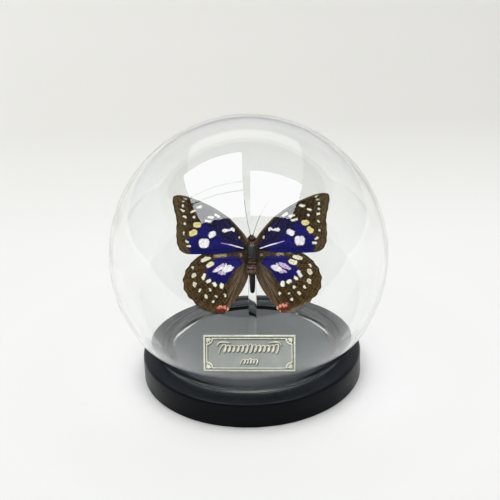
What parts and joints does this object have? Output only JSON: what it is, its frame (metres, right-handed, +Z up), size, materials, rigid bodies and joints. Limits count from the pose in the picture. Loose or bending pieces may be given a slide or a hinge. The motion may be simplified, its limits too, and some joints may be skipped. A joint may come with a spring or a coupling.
{
  "type": "insect in glass dome",
  "caption": "Dried butterfly with spread wings on a clear rod, inside a clear glass globe on a round black wooden base, with a small metal plate.",
  "frame": {"origin": "centre of the base's flat underside", "axes": "+Z up along the base's axis, -Y towards the front where the wings' upper side and the plate show, +X to the right seen from the front"},
  "size_m": [0.15, 0.15, 0.1475],
  "materials": {
    "black_wood": "black satin lacquer on turned wood",
    "clear_glass": "clear blown glass, polished",
    "clear_acrylic": "clear acrylic, polished",
    "insect_body": "dry chitin with short dark hairs",
    "forewing_scales": "powdery scales, violet-blue and dark brown with white and yellow spots",
    "hindwing_scales": "powdery scales, dark brown and violet-blue with yellow and white spots",
    "plate_metal": "satin nickel sheet with a pale gold border"
  },
  "bodies": {
    "root": {"base": "black_wood", "globe": "clear_glass", "rod": "clear_acrylic", "body": "insect_body", "left_forewing": "forewing_scales", "right_forewing": "forewing_scales", "left_hindwing": "hindwing_scales", "right_hindwing": "hindwing_scales", "left_antenna": "insect_body", "right_antenna": "insect_body", "nameplate": "plate_metal"}
  },
  "joints": []
}
